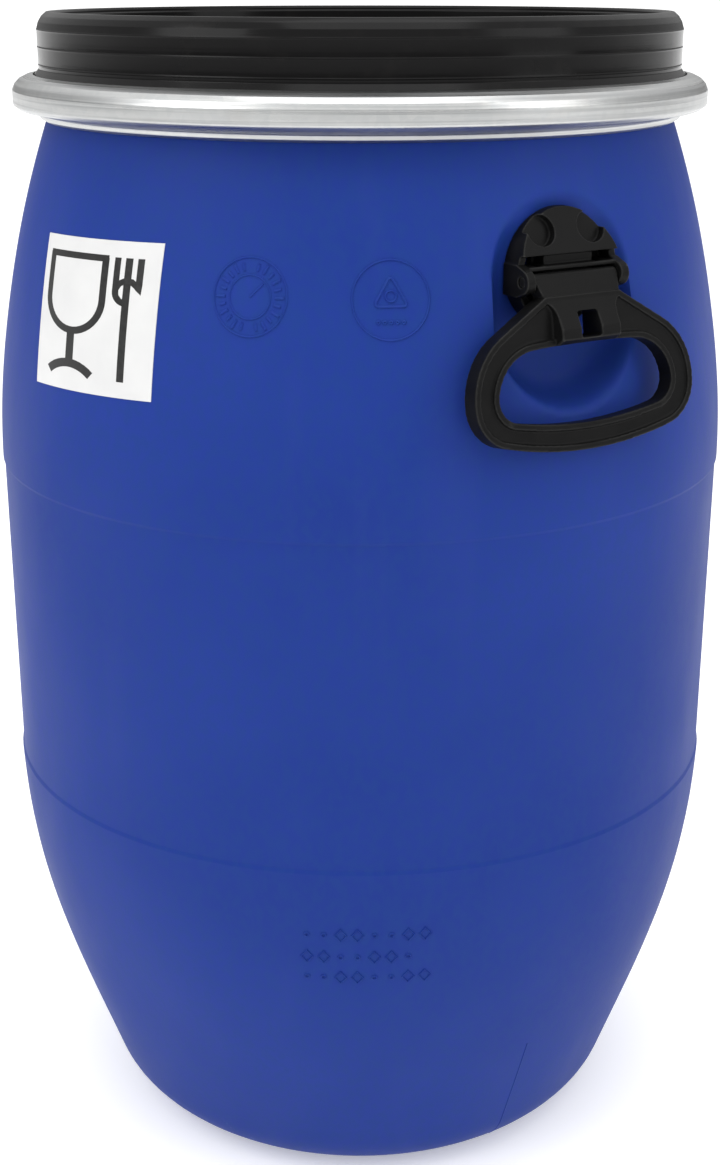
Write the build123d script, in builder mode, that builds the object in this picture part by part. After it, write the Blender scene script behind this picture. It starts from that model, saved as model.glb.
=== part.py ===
from build123d import *
import os
from math import cos, hypot, radians, sin

os.makedirs("parts", exist_ok=True)

# Open head plastic drum, 60 litre class. Millimetres, +Z up.
# Origin: centre of the base. The carrying handles are on +X and -X, the ring closure is at +Y.

# ---- drum body ----
BODY_R = 200.0          # widest radius, just above and just below the middle band
BAND_R = 199.2          # middle band, slightly recessed
WALL = 3.2
SEAM_LOW, SEAM_HIGH = 218.5, 391.0   # the edges of the middle band
SEAM_STEP = 1.2         # height of the small slope at each edge
CORNER_R = 38.85        # round corner between base and side
CORNER_CENTRE_R = 117.65
SIDE_LEAN = 0.345       # how fast the radius grows with height above the corner
FOOT_IN_R, PUSH_UP_R, PUSH_UP = 98.0, 88.0, 6.0
NECK_R, NECK_Z = 166.0, 569.5
MOUTH_Z = 582.1
FLANGE_R = 179.6

# ---- handle recess in the side ----
RECESS_FLOOR = 173.0    # distance of its flat floor from the drum's axis
RECESS_HALF_WIDTH = 39.0
RECESS_Z, RECESS_RISE = 499.7, 18.5
RECESS_TAPER = -6.0
RECESS_FLOOR_FILLET = 10.0

# ---- lid ----
LID_TOP = 622.5
LID_WALL_R = 168.9
LID_PANEL_TOP = 600.0
LID_THICK = 3.0
LID_SKIRT_R, LID_SKIRT_BOTTOM = 161.8, 577.0
LID_UNDERSIDE = 584.5
FLANGE_TOP_IN, FLANGE_TOP_OUT = (171.1, 590.5), (179.4, 586.3)
PANEL_RINGS, PANEL_RIBS, PANEL_RIB_T, PANEL_RIB_HEIGHT = (135.0, 62.0, 28.0), 12, 2.0, 3.0
LID_LINES = (596.6, 605.3, 613.8)    # fine raised lines round the wall
GASKET_IN_R, GASKET_OUT_R, GASKET_BOTTOM = 168.4, 175.6, 582.4

# ---- clamp ring ----
RING_T = 1.2
RING_R = 183.0          # its upright outer face
RING_TOP_R, RING_TOP_Z = 172.0, 591.8
RING_GAP = 12.0

# ---- ring closure, a lever that pulls a claw over a catch pin ----
CLOSURE_Z = 580.6
PLATE_T = 1.5
EAR_IN, EAR_OUT = 6.0, 7.5           # heights of a bracket's ears from CLOSURE_Z
FLANGE_IN, FLANGE_OUT = 8.0, 9.5     # heights of the lever's side plates from CLOSURE_Z
BASE_PLATE_R = RING_R + 1.6
PIN_R = 2.5
RUNNING = 0.06                       # radial clearance of a turning fit
RIVET_HEAD_R, RIVET_HEAD = 4.0, 1.3
STRAP_HALF_HEIGHT, STRAP_T = 4.5, 2.0
CLAW_CLEARANCE = 2.2    # open pivot: room for the catch pin while the lever starts to turn
LEVER_WEB_R, LEVER_EDGE_R = 195.5, 187.0
LEVER_WEB_START, LEVER_END = 12.6, 42.0      # degrees round the ring from +Y
KEEPER_ANGLE = 30.0


def on_ring(radius, angle):
    """Plan position at an angle from +Y, positive towards -X."""
    return -radius * sin(radians(angle)), radius * cos(radians(angle))


LEVER_PIVOT = on_ring(190.8, 3.9)
LINK_PIVOT = on_ring(190.2, 8.2)
CATCH_PIN = on_ring(188.0, -9.6)

# ---- carrying handle, drawn for the +X side ----
HINGE_X, HINGE_Z = 188.5, 508.0
GRIP_TILT = 9.0         # the hanging grip leans outwards, resting on the drum's side
GRIP_FRONT = 7.4        # its front face, in front of the hinge axis
GRIP_T = 9.5
GRIP_RIM, GRIP_SINK = 3.0, 1.8
BARREL_R, BARREL_HALF = 3.4, 23.7
AXLE_R, AXLE_END = 2.5, 28.8
# The corners of the grip's half outlines are given across and down from the hinge axis.
GRIP_BOTTOM, GRIP_LOW_CORNER, GRIP_WIDEST = -79.4, (48.0, -73.4), (63.5, -55.0)
GRIP_SHOULDER, GRIP_NECK = (46.0, -22.2), (21.5, -7.5)
OPENING_TOP, OPENING_SHOULDER, OPENING_WIDEST = -29.5, (30.0, -30.6), (50.3, -50.0)
OPENING_LOW_CORNER, OPENING_BOTTOM = (42.0, -62.2), -66.5
# The hinge plate slopes forwards to its legs, which have a window between them.
PLATE_HALF, LEG_HALF, LEG_FRONT = 23.7, 17.0, GRIP_FRONT + 5.5
LEG_BEND, LEG_END, PLATE_BOTTOM = -22.5, -27.5, -31.0
WINDOW_WIDTH, WINDOW_HEIGHT, WINDOW_CENTRE, WINDOW_CORNER_R = 11.6, 12.0, -21.0, 1.2

# ---- handle bracket, a round cup that slides onto a lug of the drum ----
LUG_HALF_HEIGHT, LUG_NECK_HALF, LUG_HEAD_HALF = 9.0, 6.0, 9.0
LUG_NECK, LUG_HEAD = 3.5, 3.0        # depths of the lug's neck and head
SLIDE_GAP = 0.3
BRACKET_R, BRACKET_Z = 28.5, 511.0
CUP_R, CUP_FLOOR_T = 24.9, 3.7
ARM_DEPTH, ARM_HALF_HEIGHT = 11.5, 21.0
CHEEK_IN, CHEEK_OUT = 24.0, 29.4     # the bosses that the axle turns in
BOSS_R, BOSS_FOOT = 5.6, (10.0, 15.0)
HOOD_DEPTH, HOOD_BOTTOM = 14.0, 519.0
HOOD_FRONT_LOW, HOOD_FRONT_HIGH = (14.3, 519.5), (5.0, 539.2)    # its sloping front, from the recess floor
STEP_BLOCK, STEP_BLOCK_Z = (11.2, 28.0, 11.0), 514.5
LIP_DEPTH, LIP_T, LIP_Z = 15.2, 2.0, 513.3
SCOOP_R, SCOOP_Y, SCOOP_Z, SCOOP_LEAN = 7.6, 14.3, 528.5, 0.35
SIDE_SLOT, SIDE_SLOT_Y, SIDE_SLOT_Z = (20.0, 3.6, 7.5), 17.2, 515.0

# ---- label, on the upper side ----
LABEL_ANGLE, LABEL_Z, LABEL_TURN = -74.6, 485.5, 2.0     # plan angle from +X, in degrees
LABEL_WIDTH, LABEL_HEIGHT = 87.0, 72.0
LABEL_GAP, LABEL_T = 0.05, 0.3


def save(piece, name):
    piece.part.label = name
    export_step(piece.part, f"parts/{name}.step")


def lower_side(inset):
    """The corner and the lower side, up to the lower seam, moved inwards by inset."""
    slope = hypot(1, SIDE_LEAN)
    corner = CORNER_R - inset
    end = (CORNER_CENTRE_R + corner / slope, CORNER_R - corner * SIDE_LEAN / slope)
    TangentArc((CORNER_CENTRE_R, inset), end, tangent=(1, 0))
    Spline(
        end, (173.3 - inset, 81), (192.3 - inset, 149.3), (BODY_R - inset, SEAM_LOW),
        tangents=((SIDE_LEAN, 1), (0.03, 1)),
    )


def upper_side(inset):
    """The upper side, from the upper seam to the neck, moved inwards by inset."""
    return Spline(
        (BODY_R - inset, SEAM_HIGH), (191.0 - inset, 476.9), (181.6 - inset, 519.6),
        (NECK_R - inset, NECK_Z), tangents=((0, 1), (-0.36, 1)),
    )


def middle_band(inset):
    Polyline(
        (BODY_R - inset, SEAM_LOW), (BAND_R - inset, SEAM_LOW + SEAM_STEP),
        (BAND_R - inset, SEAM_HIGH - SEAM_STEP), (BODY_R - inset, SEAM_HIGH),
    )


def handle_recess(inset):
    """The space of one handle recess, grown by inset, with soft edges at its floor."""
    floor = Plane(origin=(RECESS_FLOOR - inset, 0, RECESS_Z), x_dir=(0, 1, 0), z_dir=(1, 0, 0))
    with BuildPart() as space:
        with BuildSketch(floor):
            SlotCenterToCenter(RECESS_RISE, 2 * (RECESS_HALF_WIDTH + inset), rotation=90)
        extrude(amount=40, taper=RECESS_TAPER)
        fillet(space.faces().sort_by(Axis.X)[0].edges(), RECESS_FLOOR_FILLET + inset)
    return space.part


# The space inside the drum, from the base to above the mouth.
with BuildPart() as cavity:
    with BuildSketch(Plane.XZ):
        with BuildLine():
            Polyline(
                (0, PUSH_UP + WALL), (PUSH_UP_R - WALL, PUSH_UP + WALL), (FOOT_IN_R - WALL, WALL),
                (CORNER_CENTRE_R, WALL),
            )
            lower_side(WALL)
            middle_band(WALL)
            upper_side(WALL)
            Polyline((NECK_R - WALL, NECK_Z), (NECK_R - WALL, MOUTH_Z + 20), (0, MOUTH_Z + 20))
            Line((0, MOUTH_Z + 20), (0, PUSH_UP + WALL))
        make_face()
    revolve(axis=Axis.Z)
    inner_recess = handle_recess(WALL)
    add(inner_recess, mode=Mode.SUBTRACT)
    add(mirror(inner_recess, about=Plane.YZ, mode=Mode.PRIVATE), mode=Mode.SUBTRACT)

# Drum body: one blow moulding with a clamping flange round its mouth and a recess for each handle.
with BuildPart() as drum_body:
    with BuildSketch(Plane.XZ):
        with BuildLine():
            Polyline((0, PUSH_UP), (PUSH_UP_R, PUSH_UP), (FOOT_IN_R, 0), (CORNER_CENTRE_R, 0))
            lower_side(0)
            middle_band(0)
            upper_side(0)
            Polyline(
                (NECK_R, NECK_Z), (NECK_R, 573.4), (FLANGE_R - 1.2, 576.8), (FLANGE_R, 578.6),
                (FLANGE_R, 580.6), (FLANGE_R - 1.5, MOUTH_Z), (0, MOUTH_Z), (0, PUSH_UP),
            )
        make_face()
    revolve(axis=Axis.Z)
    outer_recess = handle_recess(0)
    add(outer_recess, mode=Mode.SUBTRACT)
    add(mirror(outer_recess, about=Plane.YZ, mode=Mode.PRIVATE), mode=Mode.SUBTRACT)
    add(cavity.part, mode=Mode.SUBTRACT)
    # a T-shaped lug on each recess floor, which a handle bracket slides onto
    for side in (1, -1):
        with Locations((side * (RECESS_FLOOR + LUG_NECK / 2), 0, BRACKET_Z)):
            Box(LUG_NECK + 0.2, 2 * LUG_NECK_HALF, 2 * LUG_HALF_HEIGHT)
        with Locations((side * (RECESS_FLOOR + LUG_NECK + LUG_HEAD / 2), 0, BRACKET_Z)):
            Box(LUG_HEAD, 2 * LUG_HEAD_HALF, 2 * LUG_HALF_HEIGHT)
save(drum_body, "drum_body")

# Lid: a recessed panel inside a raised rim, whose outer flange the ring clamps to the drum's.
with BuildPart() as lid:
    with BuildSketch(Plane.XZ):
        with BuildLine():
            skirt_in = LID_SKIRT_R - LID_THICK
            Polyline(
                (0, LID_PANEL_TOP - LID_THICK), (skirt_in, LID_PANEL_TOP - LID_THICK),
                (skirt_in, LID_SKIRT_BOTTOM), (LID_SKIRT_R, LID_SKIRT_BOTTOM), (LID_SKIRT_R, 617.5),
                (164.0, 616.0), (LID_WALL_R - LID_THICK, 612.0),
                (LID_WALL_R - LID_THICK, LID_UNDERSIDE), (FLANGE_TOP_OUT[0], LID_UNDERSIDE),
                FLANGE_TOP_OUT, FLANGE_TOP_IN, (171.1, 591.7), (LID_WALL_R, 594.6),
                (LID_WALL_R, LID_LINES[2]),
            )
            ThreePointArc((LID_WALL_R, LID_LINES[2]), (167.0, 619.4), (163.2, LID_TOP))
            Polyline((163.2, LID_TOP), (160.2, LID_TOP), (skirt_in, 620.6), (skirt_in, 604.0))
            RadiusArc((skirt_in, 604.0), (skirt_in - 4.0, LID_PANEL_TOP), 4.0)
            Polyline((skirt_in - 4.0, LID_PANEL_TOP), (0, LID_PANEL_TOP), (0, LID_PANEL_TOP - LID_THICK))
        make_face()
    revolve(axis=Axis.Z)
    # fine raised lines round the wall
    with BuildSketch(Plane.XZ):
        for height in LID_LINES:
            with Locations((LID_WALL_R, height)):
                Rectangle(0.6, 0.8)
    revolve(axis=Axis.Z)
    # stiffening rings and ribs on the panel
    with BuildSketch(Plane.XY.offset(LID_PANEL_TOP)):
        for radius in PANEL_RINGS:
            Circle(radius)
            Circle(radius - 2.4, mode=Mode.SUBTRACT)
        with PolarLocations((PANEL_RINGS[0] + PANEL_RINGS[1]) / 2 - 0.5, PANEL_RIBS):
            Rectangle(PANEL_RINGS[0] - PANEL_RINGS[1] - 2.0, PANEL_RIB_T)
    extrude(amount=PANEL_RIB_HEIGHT)
save(lid, "lid")

with BuildPart() as lid_gasket:
    with BuildSketch(Plane.XY.offset(GASKET_BOTTOM)):
        Circle(GASKET_OUT_R)
        Circle(GASKET_IN_R, mode=Mode.SUBTRACT)
    extrude(amount=LID_UNDERSIDE - GASKET_BOTTOM)
save(lid_gasket, "lid_gasket")

# Clamp ring band: one rolled steel channel, split at +Y, with its lower edge curled in under the flange.
with BuildPart() as clamp_ring_band:
    with BuildSketch(Plane.XZ):
        with BuildLine():
            FilletPolyline(
                (RING_TOP_R, RING_TOP_Z), (181.3, 587.2), (RING_R, 584.4), (RING_R, 577.0),
                (180.2, 574.9), (170.2, 572.5), (169.4, 570.2), (167.0, 568.9), radius=1.25,
            )
            offset(amount=RING_T, side=Side.RIGHT)
        make_face()
    revolve(axis=Axis.Z)
    with Locations((0, RING_R, CLOSURE_Z)):
        Box(RING_GAP, 60, 60, mode=Mode.SUBTRACT)
save(clamp_ring_band, "clamp_ring_band")


def arc_plate(radius_in, radius_out, start, end):
    """The plan of a plate that follows the ring from one angle to another."""
    middle = (start + end) / 2
    with BuildSketch() as plan:
        with BuildLine():
            ThreePointArc(on_ring(radius_in, start), on_ring(radius_in, middle), on_ring(radius_in, end))
            Line(on_ring(radius_in, end), on_ring(radius_out, end))
            ThreePointArc(on_ring(radius_out, end), on_ring(radius_out, middle), on_ring(radius_out, start))
            Line(on_ring(radius_out, start), on_ring(radius_in, start))
        make_face()
    return plan.sketch


def ring_bracket(pivot, start, end, ear_r, foot_angle):
    """A bracket welded to the ring: a base plate with an ear above and one below the pivot."""
    with BuildPart() as bracket:
        with BuildSketch(Plane.XY.offset(CLOSURE_Z - EAR_OUT)):
            add(arc_plate(RING_R, BASE_PLATE_R, start, end))
        extrude(amount=2 * EAR_OUT)
        for height in (-EAR_OUT, EAR_IN):
            with BuildSketch(Plane.XY.offset(CLOSURE_Z + height)):
                with Locations(pivot):
                    Circle(ear_r)
                with Locations(on_ring(BASE_PLATE_R - 0.8, foot_angle)):
                    Rectangle(13, 1.2, rotation=foot_angle)
                make_hull()
                Circle(RING_R, mode=Mode.SUBTRACT)
                with Locations(pivot):
                    Circle(PIN_R, mode=Mode.SUBTRACT)
            extrude(amount=PLATE_T)
    return bracket


lever_hinge_bracket = ring_bracket(LEVER_PIVOT, 2.3, 12.0, 5.0, 4.4)
save(lever_hinge_bracket, "lever_hinge_bracket")
catch_bracket = ring_bracket(CATCH_PIN, -14.0, -2.3, 4.8, -9.2)
save(catch_bracket, "catch_bracket")

# Catch pin: a headed pin through both ears of its bracket.
with BuildPart() as catch_pin:
    with BuildSketch(Plane.XY.offset(CLOSURE_Z - EAR_OUT)):
        with Locations(CATCH_PIN):
            Circle(PIN_R)
    extrude(amount=2 * EAR_OUT)
    for height in (-EAR_OUT - RIVET_HEAD, EAR_OUT):
        with BuildSketch(Plane.XY.offset(CLOSURE_Z + height)):
            with Locations(CATCH_PIN):
                Circle(RIVET_HEAD_R)
        extrude(amount=RIVET_HEAD)
    fillet(catch_pin.faces().filter_by(Axis.Z).sort_by(Axis.Z)[-1].edges(), 0.8)
    fillet(catch_pin.faces().filter_by(Axis.Z).sort_by(Axis.Z)[0].edges(), 0.8)
save(catch_pin, "catch_pin")

# Lever pivot rivets: one above and one below, so that the claw's strap passes between them.
with BuildPart() as lever_pivot_rivets:
    for low, high, radius in (
        (EAR_IN - 1.0, EAR_IN, 3.8),
        (EAR_IN, FLANGE_OUT + 0.3, PIN_R),
        (FLANGE_OUT + 0.3, FLANGE_OUT + 0.3 + RIVET_HEAD, RIVET_HEAD_R),
    ):
        for bottom in (CLOSURE_Z + low, CLOSURE_Z - high):
            with BuildSketch(Plane.XY.offset(bottom)):
                with Locations(LEVER_PIVOT):
                    Circle(radius)
            extrude(amount=high - low)
    fillet(lever_pivot_rivets.faces().filter_by(Axis.Z).sort_by(Axis.Z)[-1].edges(), 0.8)
    fillet(lever_pivot_rivets.faces().filter_by(Axis.Z).sort_by(Axis.Z)[0].edges(), 0.8)
save(lever_pivot_rivets, "lever_pivot_rivets")

# Link rivet: right through the lever, with the strap's eye turning on it.
with BuildPart() as link_rivet:
    with BuildSketch(Plane.XY.offset(CLOSURE_Z - FLANGE_OUT)):
        with Locations(LINK_PIVOT):
            Circle(PIN_R)
    extrude(amount=2 * FLANGE_OUT)
    for height in (-FLANGE_OUT - RIVET_HEAD, FLANGE_OUT):
        with BuildSketch(Plane.XY.offset(CLOSURE_Z + height)):
            with Locations(LINK_PIVOT):
                Circle(RIVET_HEAD_R)
        extrude(amount=RIVET_HEAD)
    fillet(link_rivet.faces().filter_by(Axis.Z).sort_by(Axis.Z)[-1].edges(), 0.8)
    fillet(link_rivet.faces().filter_by(Axis.Z).sort_by(Axis.Z)[0].edges(), 0.8)
save(link_rivet, "link_rivet")

# Claw link: a strap with a rolled eye on the lever's rivet and a claw that bends in behind the catch pin.
claw_x = CATCH_PIN[0] + PIN_R + CLAW_CLEARANCE + STRAP_T / 2
strap_y = CATCH_PIN[1] + PIN_R + 0.3 + STRAP_T / 2
with BuildPart() as claw_link:
    with BuildSketch(Plane.XY.offset(CLOSURE_Z - STRAP_HALF_HEIGHT)):
        with BuildLine():
            FilletPolyline(LINK_PIVOT, (claw_x, strap_y), (claw_x + 0.6, strap_y - 4.8), radius=2.0)
            offset(amount=STRAP_T / 2, side=Side.BOTH)
        make_face()
        with Locations(LINK_PIVOT):
            Circle(PIN_R + RUNNING + STRAP_T)
            Circle(PIN_R + RUNNING, mode=Mode.SUBTRACT)
    extrude(amount=2 * STRAP_HALF_HEIGHT)
save(claw_link, "claw_link")

# Lever: a curved channel that lies along the ring. Its web is cut away where the strap swings through.
with BuildPart() as lever:
    for height in (-FLANGE_OUT, FLANGE_IN):
        with BuildSketch(Plane.XY.offset(CLOSURE_Z + height)):
            with Locations(LEVER_PIVOT):
                Circle(6.0)
            with Locations(LINK_PIVOT):
                Circle(6.0)
            make_hull()
            add(arc_plate(LEVER_EDGE_R, LEVER_WEB_R, 8.2, LEVER_END))
            with Locations(LEVER_PIVOT, LINK_PIVOT):
                Circle(PIN_R + RUNNING, mode=Mode.SUBTRACT)
        extrude(amount=PLATE_T)
    with BuildSketch(Plane.XY.offset(CLOSURE_Z - FLANGE_OUT)):
        add(arc_plate(LEVER_WEB_R - PLATE_T, LEVER_WEB_R, LEVER_WEB_START, LEVER_END))
    extrude(amount=2 * FLANGE_OUT)
    # a turned-out lip at the free end, for the fingers
    with BuildSketch(Plane.XY.offset(CLOSURE_Z - FLANGE_OUT)):
        with BuildLine():
            tip = on_ring(LEVER_WEB_R - PLATE_T, LEVER_END)
            tip_out = on_ring(LEVER_WEB_R, LEVER_END)
            Polyline(tip, tip_out, on_ring(199.4, LEVER_END + 3.4), on_ring(197.9, LEVER_END + 3.8), tip)
        make_face()
    extrude(amount=2 * FLANGE_OUT)
    # the slot that the keeper stands through
    keeper_slot = Plane(
        origin=(*on_ring(LEVER_WEB_R, KEEPER_ANGLE), CLOSURE_Z),
        x_dir=(cos(radians(KEEPER_ANGLE)), sin(radians(KEEPER_ANGLE)), 0),
        z_dir=(-sin(radians(KEEPER_ANGLE)), cos(radians(KEEPER_ANGLE)), 0),
    )
    with BuildSketch(keeper_slot):
        Rectangle(11.5, 3.0)
    extrude(amount=4.0, both=True, mode=Mode.SUBTRACT)
save(lever, "lever")

# Keeper: a flat tab on the ring with a hole outside the lever, for a seal or a split pin.
with BuildPart() as lever_keeper:
    with BuildSketch(Plane.XY.offset(CLOSURE_Z - PLATE_T / 2)):
        add(arc_plate(RING_R, 199.6, KEEPER_ANGLE - 1.2, KEEPER_ANGLE + 1.2))
        with Locations(on_ring(197.6, KEEPER_ANGLE)):
            Circle(1.4, mode=Mode.SUBTRACT)
    extrude(amount=PLATE_T)
save(lever_keeper, "lever_keeper")

# Handle bracket: a round cup on the recess floor. Its side arms hold the grip's axle.
with BuildPart() as handle_bracket_right:
    back = Plane(origin=(RECESS_FLOOR + SLIDE_GAP, 0, BRACKET_Z), x_dir=(0, 1, 0), z_dir=(1, 0, 0))
    # side arms
    with BuildSketch(back):
        Circle(BRACKET_R)
        Rectangle(2 * BRACKET_R, 2 * ARM_HALF_HEIGHT, mode=Mode.INTERSECT)
    extrude(amount=ARM_DEPTH)
    # bosses that the axle turns in
    for side in (1, -1):
        with BuildSketch(Plane.XZ.offset(side * (CHEEK_IN + CHEEK_OUT) / 2)):
            with Locations((HINGE_X, HINGE_Z)):
                Circle(BOSS_R)
            with Locations((RECESS_FLOOR + 1.5 + BOSS_FOOT[0] / 2, HINGE_Z)):
                Rectangle(*BOSS_FOOT)
            make_hull()
        extrude(amount=(CHEEK_OUT - CHEEK_IN) / 2, both=True)
    # the cup's hollow
    with BuildSketch(back.offset(CUP_FLOOR_T)):
        Circle(CUP_R)
    extrude(amount=2 * ARM_DEPTH, mode=Mode.SUBTRACT)
    # hood over the upper half, and the cup's floor
    with BuildSketch(back):
        Circle(BRACKET_R)
        with Locations((0, HOOD_BOTTOM - BRACKET_Z - BRACKET_R)):
            Rectangle(2 * BRACKET_R + 2, 2 * BRACKET_R, mode=Mode.SUBTRACT)
    extrude(amount=HOOD_DEPTH)
    with BuildSketch(back):
        Circle(BRACKET_R - 0.01)
    extrude(amount=CUP_FLOOR_T)
    # block behind the step, and the lip over the grip's barrel
    with Locations((RECESS_FLOOR + 0.6 + STEP_BLOCK[0] / 2, 0, STEP_BLOCK_Z)):
        Box(*STEP_BLOCK)
    with Locations((RECESS_FLOOR + SLIDE_GAP + LIP_DEPTH / 2, 0, LIP_Z)):
        Box(LIP_DEPTH, 2 * CUP_R - 0.4, LIP_T)
    # sloping front of the hood
    with BuildSketch(Plane.XZ):
        with BuildLine():
            low = (RECESS_FLOOR + HOOD_FRONT_LOW[0], HOOD_FRONT_LOW[1])
            high = (RECESS_FLOOR + HOOD_FRONT_HIGH[0], HOOD_FRONT_HIGH[1])
            clear_x = low[0] + 16
            clear_z = high[1] + 6
            Polyline(low, (clear_x, low[1]), (clear_x, clear_z), (high[0], clear_z), high, low)
        make_face()
    extrude(amount=BRACKET_R + 5, both=True, mode=Mode.SUBTRACT)
    # the two round scoops beside the tongue
    for side in (1, -1):
        scoop = Plane(
            origin=(RECESS_FLOOR + 5.5, side * SCOOP_Y, SCOOP_Z), x_dir=(0, 1, 0), z_dir=(1, 0, SCOOP_LEAN)
        )
        with BuildSketch(scoop):
            Circle(SCOOP_R)
        extrude(amount=24, mode=Mode.SUBTRACT)
    with BuildSketch(Plane.XZ):
        with Locations((HINGE_X, HINGE_Z)):
            Circle(AXLE_R + RUNNING)
    extrude(amount=CHEEK_OUT + 5, both=True, mode=Mode.SUBTRACT)
    # slots beside the block, and the slide that fits the drum's lug from below
    with Locations(*[(RECESS_FLOOR + 4, side * SIDE_SLOT_Y, SIDE_SLOT_Z) for side in (1, -1)]):
        Box(*SIDE_SLOT, mode=Mode.SUBTRACT)
    slide_top = BRACKET_Z + LUG_HALF_HEIGHT + SLIDE_GAP
    slide_height = slide_top - BRACKET_Z + BRACKET_R + 2
    slide_z = slide_top - slide_height / 2
    with Locations((RECESS_FLOOR, 0, slide_z)):
        Box(2 * LUG_NECK - 0.2, 2 * (LUG_NECK_HALF + SLIDE_GAP), slide_height, mode=Mode.SUBTRACT)
    with Locations((RECESS_FLOOR + LUG_NECK + LUG_HEAD / 2, 0, slide_z)):
        Box(LUG_HEAD + 2 * SLIDE_GAP, 2 * (LUG_HEAD_HALF + SLIDE_GAP), slide_height, mode=Mode.SUBTRACT)
save(handle_bracket_right, "handle_bracket_right")

# Handle grip: a flat stirrup with raised rims, hung on a barrel by a sloping plate with a window.
grip_plane = Plane(
    origin=(HINGE_X, 0, HINGE_Z),
    x_dir=(0, 1, 0),
    z_dir=(cos(radians(GRIP_TILT)), 0, sin(radians(GRIP_TILT))),
)
across_grip = Plane(
    origin=(HINGE_X, 0, HINGE_Z),
    x_dir=(cos(radians(GRIP_TILT)), 0, sin(radians(GRIP_TILT))),
    z_dir=(0, -1, 0),
)

with BuildSketch() as grip_outline:
    with BuildLine():
        bottom = TangentArc((0, GRIP_BOTTOM), GRIP_LOW_CORNER, tangent=(1, 0))
        corner = TangentArc(bottom @ 1, GRIP_WIDEST, tangent=bottom % 1)
        shoulder = TangentArc(corner @ 1, GRIP_SHOULDER, tangent=corner % 1)
        Polyline(shoulder @ 1, GRIP_NECK, (0, GRIP_NECK[1]))
        mirror(about=Plane.YZ)
    make_face()

with BuildSketch() as grip_opening:
    with BuildLine():
        top = TangentArc((0, OPENING_TOP), OPENING_SHOULDER, tangent=(1, 0))
        shoulder = TangentArc(top @ 1, OPENING_WIDEST, tangent=top % 1)
        corner = TangentArc(shoulder @ 1, OPENING_LOW_CORNER, tangent=shoulder % 1)
        TangentArc((0, OPENING_BOTTOM), corner @ 1, tangent=(1, 0))
        mirror(about=Plane.YZ)
    make_face()

# the sunk web, between the outer rim and the rim of the opening
with BuildSketch() as grip_web:
    add(grip_outline.sketch)
    offset(amount=-GRIP_RIM)
    with BuildSketch(mode=Mode.PRIVATE) as opening_rim:
        add(grip_opening.sketch)
        offset(amount=GRIP_RIM)
    add(opening_rim.sketch, mode=Mode.SUBTRACT)

# The plate slopes outwards from the barrel, then turns down into two legs with a window between them.
with BuildPart() as hinge_plate:
    with BuildSketch(across_grip):
        with BuildLine():
            Polyline(
                (0, BARREL_R), (2.4, 2.4), (LEG_FRONT, LEG_BEND), (LEG_FRONT, LEG_END),
                (GRIP_FRONT - 1.0, PLATE_BOTTOM), (GRIP_FRONT - GRIP_T, PLATE_BOTTOM),
                (GRIP_FRONT - GRIP_T, -9.0),
                (-BARREL_R, 0), (0, BARREL_R),
            )
        make_face()
    extrude(amount=PLATE_HALF, both=True)
    with BuildSketch(grip_plane.offset(-20)):
        with BuildLine():
            Polyline((0, 6), (PLATE_HALF, 6), (PLATE_HALF, -1), (21.8, -8.0))
            Spline((21.8, -8.0), (18.6, -12.2), (LEG_HALF, -19.0), tangents=((-0.2, -1), (0, -1)))
            Polyline((LEG_HALF, -19.0), (LEG_HALF, -34.0), (0, -34.0))
            mirror(about=Plane.YZ)
        make_face()
    extrude(amount=60, mode=Mode.INTERSECT)
    with BuildSketch(grip_plane.offset(-20)):
        with Locations((0, WINDOW_CENTRE)):
            RectangleRounded(WINDOW_WIDTH, WINDOW_HEIGHT, WINDOW_CORNER_R)
    extrude(amount=60, mode=Mode.SUBTRACT)

with BuildPart() as handle_grip_right:
    with BuildSketch(grip_plane.offset(GRIP_FRONT - GRIP_T)):
        add(grip_outline.sketch)
        add(grip_opening.sketch, mode=Mode.SUBTRACT)
        with Locations((0, WINDOW_CENTRE)):
            RectangleRounded(WINDOW_WIDTH, WINDOW_HEIGHT, WINDOW_CORNER_R, mode=Mode.SUBTRACT)
    extrude(amount=GRIP_T)
    for level, way in ((GRIP_FRONT - GRIP_SINK, 1), (GRIP_FRONT - GRIP_T + GRIP_SINK, -1)):
        with BuildSketch(grip_plane.offset(level)):
            add(grip_web.sketch)
            with Locations((0, -19.0)):
                Rectangle(2 * LEG_HALF, 24.0, mode=Mode.SUBTRACT)
        extrude(amount=way * 5, mode=Mode.SUBTRACT)
    add(hinge_plate.part)
    with BuildSketch(grip_plane.offset(-20)):
        add(grip_opening.sketch)
    extrude(amount=60, mode=Mode.SUBTRACT)
    # round barrel with a stub axle at each end
    with BuildSketch(Plane.XZ):
        with Locations((HINGE_X, HINGE_Z)):
            Circle(BARREL_R)
    extrude(amount=BARREL_HALF, both=True)
    with BuildSketch(Plane.XZ):
        with Locations((HINGE_X, HINGE_Z)):
            Circle(AXLE_R)
    extrude(amount=AXLE_END, both=True)
save(handle_grip_right, "handle_grip_right")

# The handle on the -X side is the mirror image.
with BuildPart() as handle_bracket_left:
    add(mirror(handle_bracket_right.part, about=Plane.YZ, mode=Mode.PRIVATE))
save(handle_bracket_left, "handle_bracket_left")
with BuildPart() as handle_grip_left:
    add(mirror(handle_grip_right.part, about=Plane.YZ, mode=Mode.PRIVATE))
save(handle_grip_left, "handle_grip_left")

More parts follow.
